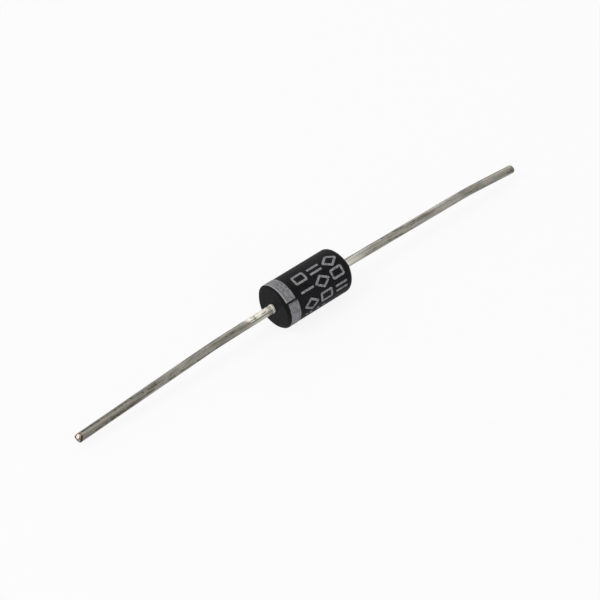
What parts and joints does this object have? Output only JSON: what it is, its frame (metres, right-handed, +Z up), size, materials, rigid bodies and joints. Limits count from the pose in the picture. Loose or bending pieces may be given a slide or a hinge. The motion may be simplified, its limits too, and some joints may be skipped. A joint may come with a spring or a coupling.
{
  "type": "axial rectifier diode",
  "caption": "Black moulded epoxy barrel with a silver-grey cathode band and a tinned wire lead out of each end, for through-hole mounting.",
  "frame": {"origin": "middle of the moulded barrel, on the lead axis", "axes": "+X along the lead axis from the cathode (banded end) to the anode; +Z up as the diode lies on its barrel, with both leads drooping slightly towards -Z"},
  "size_m": [0.0622, 0.0052, 0.0052],
  "materials": {
    "epoxy": "satin black moulding compound with a fine grain",
    "tinned_wire": "copper wire with a satin tin plating and drawn lengthways marks",
    "silicon": "metallised silicon",
    "solder": "soft solder, dull",
    "silicone": "white silicone junction coating",
    "band_ink": "silver-grey printing ink, slightly mottled"
  },
  "bodies": {
    "root": {"moulded_body": "epoxy", "cathode_lead": "tinned_wire", "anode_lead": "tinned_wire", "silicon_die": "silicon", "cathode_solder": "solder", "anode_solder": "solder", "junction_coating": "silicone", "cathode_band": "band_ink"}
  },
  "joints": []
}
